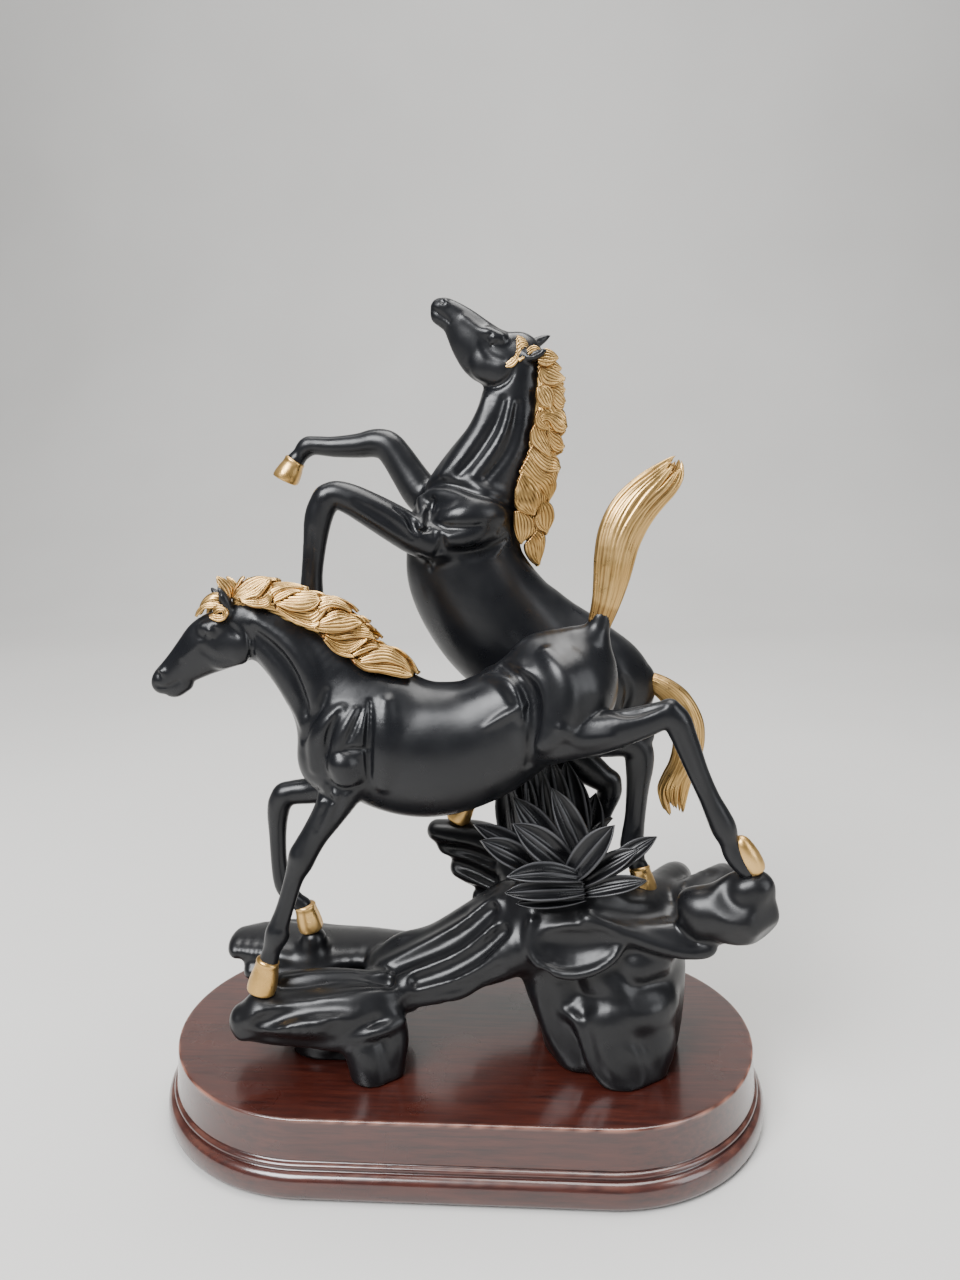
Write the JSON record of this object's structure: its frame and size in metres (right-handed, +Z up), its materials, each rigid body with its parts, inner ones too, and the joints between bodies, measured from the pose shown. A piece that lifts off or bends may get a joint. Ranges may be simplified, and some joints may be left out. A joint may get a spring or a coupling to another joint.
{
  "type": "horse pair statuette",
  "caption": "Statuette of a striding horse before a rearing one on a rock with pointed leaves, with gilded manes, tails and hooves, on an oval wooden plinth.",
  "frame": {"origin": "centre of the plinth's footprint, on the surface that its felt pads stand on", "axes": "+Z up, +X along the plinth's length to the right of the striding horse's viewer, -Y towards that viewer"},
  "size_m": [0.188, 0.103, 0.2471],
  "materials": {
    "lacquered_wood": "gloss",
    "felt": "matte",
    "steel": "satin",
    "black_cast": "satin",
    "gilding": "satin"
  },
  "bodies": {
    "root": {"plinth": "lacquered_wood", "felt_pads": "felt", "plinth_screws": "steel", "screw_washers": "steel", "rock": "black_cast", "rosette_leaves": "black_cast", "upright_leaves": "black_cast", "front_body": "black_cast", "front_mane": "gilding", "front_forelock": "gilding", "front_tail": "gilding", "front_tail_pin": "steel", "front_hoof_near_fore": "gilding", "front_hoof_off_fore": "gilding", "front_hoof_near_hind": "gilding", "front_hoof_off_hind": "gilding", "front_leg_pins": "steel", "rear_body": "black_cast", "rear_mane": "gilding", "rear_forelock": "gilding", "rear_tail": "gilding", "rear_tail_pin": "steel", "rear_hoof_near_fore": "gilding", "rear_hoof_off_fore": "gilding", "rear_hoof_near_hind": "gilding", "rear_hoof_off_hind": "gilding", "rear_leg_pins": "steel"}
  },
  "joints": []
}
